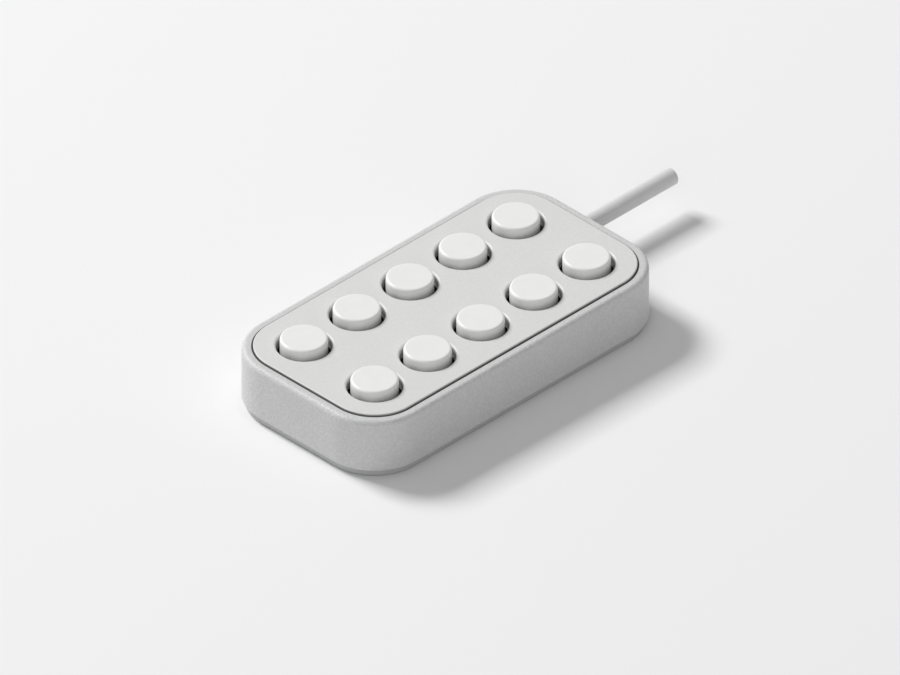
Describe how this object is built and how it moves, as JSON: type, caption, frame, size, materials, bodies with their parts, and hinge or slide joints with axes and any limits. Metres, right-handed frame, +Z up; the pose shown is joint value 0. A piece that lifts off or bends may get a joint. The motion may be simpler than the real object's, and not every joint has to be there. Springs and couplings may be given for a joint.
{
  "type": "pushbutton operator panel",
  "caption": "Flat rounded pushbutton operator panel: rows of sprung round buttons in a raised front plate, screwed-on base with rubber feet, and a cable from one short end.",
  "frame": {"origin": "on the surface the panel stands on, under the middle of the housing", "axes": "+X across the panel, +Y along it towards the end where the cable leaves, +Z up out of the button face"},
  "size_m": [0.0892, 0.2249, 0.0312],
  "materials": {
    "housing_plastic": "fine leather-like tool texture, satin",
    "plate_plastic": "very fine tool texture, satin",
    "cap_plastic": "smooth semi-gloss moulding",
    "adhesive_film": "thin double-sided film",
    "black_rubber": "matt rubber",
    "grey_rubber": "matt rubber",
    "board_laminate": "green solder mask over glass cloth",
    "switch_plastic": "moulded, matt",
    "plunger_plastic": "natural acetal, satin",
    "spring_steel": "drawn wire",
    "screw_steel": "zinc plated",
    "contact_steel": "rolled sheet",
    "brass": "machined",
    "plug_plastic": "natural nylon",
    "core_insulation": "extruded, satin, a different colour on each core",
    "cable_jacket": "extruded, satin",
    "base_paint": "powder coat, fine texture"
  },
  "bodies": {
    "panel": {"housing": "housing_plastic", "front_plate": "plate_plastic", "plate_adhesive": "adhesive_film", "plate_seal": "black_rubber", "dust_mat": "black_rubber", "circuit_board": "board_laminate", "board_screws": "screw_steel", "switch_bases": "switch_plastic", "switch_covers": "switch_plastic", "contact_discs": "contact_steel", "switch_terminals": "contact_steel", "board_header": "switch_plastic", "header_pins": "brass", "wire_plug": "plug_plastic", "core_wires": "core_insulation", "cable_tail": "cable_jacket", "cable": "cable_jacket", "cable_grommet": "grey_rubber", "cable_clamp": "switch_plastic", "clamp_screws": "screw_steel", "base_plate": "base_paint", "base_seal": "black_rubber", "base_screws": "screw_steel", "threaded_inserts": "brass", "rubber_feet": "black_rubber", "return_spring_left_1": "spring_steel", "return_spring_left_2": "spring_steel", "return_spring_left_3": "spring_steel", "return_spring_left_4": "spring_steel", "return_spring_left_5": "spring_steel", "return_spring_right_1": "spring_steel", "return_spring_right_2": "spring_steel", "return_spring_right_3": "spring_steel", "return_spring_right_4": "spring_steel", "return_spring_right_5": "spring_steel"},
    "button_left_1": {"button_cap_left_1": "cap_plastic", "plunger_left_1": "plunger_plastic"},
    "button_left_2": {"button_cap_left_2": "cap_plastic", "plunger_left_2": "plunger_plastic"},
    "button_left_3": {"button_cap_left_3": "cap_plastic", "plunger_left_3": "plunger_plastic"},
    "button_left_4": {"button_cap_left_4": "cap_plastic", "plunger_left_4": "plunger_plastic"},
    "button_left_5": {"button_cap_left_5": "cap_plastic", "plunger_left_5": "plunger_plastic"},
    "button_right_1": {"button_cap_right_1": "cap_plastic", "plunger_right_1": "plunger_plastic"},
    "button_right_2": {"button_cap_right_2": "cap_plastic", "plunger_right_2": "plunger_plastic"},
    "button_right_3": {"button_cap_right_3": "cap_plastic", "plunger_right_3": "plunger_plastic"},
    "button_right_4": {"button_cap_right_4": "cap_plastic", "plunger_right_4": "plunger_plastic"},
    "button_right_5": {"button_cap_right_5": "cap_plastic", "plunger_right_5": "plunger_plastic"}
  },
  "joints": [
    {"name": "press_left_1", "type": "slide", "parent": "panel", "child": "button_left_1", "axis": [0, 0, -1], "range_m": [0, 0.0025], "stiffness_N_per_m": 800, "springref_m": -0.0019, "deforming": ["return_spring_left_1"]},
    {"name": "press_left_2", "type": "slide", "parent": "panel", "child": "button_left_2", "axis": [0, 0, -1], "range_m": [0, 0.0025], "stiffness_N_per_m": 800, "springref_m": -0.0019, "deforming": ["return_spring_left_2"]},
    {"name": "press_left_3", "type": "slide", "parent": "panel", "child": "button_left_3", "axis": [0, 0, -1], "range_m": [0, 0.0025], "stiffness_N_per_m": 800, "springref_m": -0.0019, "deforming": ["return_spring_left_3"]},
    {"name": "press_left_4", "type": "slide", "parent": "panel", "child": "button_left_4", "axis": [0, 0, -1], "range_m": [0, 0.0025], "stiffness_N_per_m": 800, "springref_m": -0.0019, "deforming": ["return_spring_left_4"]},
    {"name": "press_left_5", "type": "slide", "parent": "panel", "child": "button_left_5", "axis": [0, 0, -1], "range_m": [0, 0.0025], "stiffness_N_per_m": 800, "springref_m": -0.0019, "deforming": ["return_spring_left_5"]},
    {"name": "press_right_1", "type": "slide", "parent": "panel", "child": "button_right_1", "axis": [0, 0, -1], "range_m": [0, 0.0025], "stiffness_N_per_m": 800, "springref_m": -0.0019, "deforming": ["return_spring_right_1"]},
    {"name": "press_right_2", "type": "slide", "parent": "panel", "child": "button_right_2", "axis": [0, 0, -1], "range_m": [0, 0.0025], "stiffness_N_per_m": 800, "springref_m": -0.0019, "deforming": ["return_spring_right_2"]},
    {"name": "press_right_3", "type": "slide", "parent": "panel", "child": "button_right_3", "axis": [0, 0, -1], "range_m": [0, 0.0025], "stiffness_N_per_m": 800, "springref_m": -0.0019, "deforming": ["return_spring_right_3"]},
    {"name": "press_right_4", "type": "slide", "parent": "panel", "child": "button_right_4", "axis": [0, 0, -1], "range_m": [0, 0.0025], "stiffness_N_per_m": 800, "springref_m": -0.0019, "deforming": ["return_spring_right_4"]},
    {"name": "press_right_5", "type": "slide", "parent": "panel", "child": "button_right_5", "axis": [0, 0, -1], "range_m": [0, 0.0025], "stiffness_N_per_m": 800, "springref_m": -0.0019, "deforming": ["return_spring_right_5"]}
  ]
}
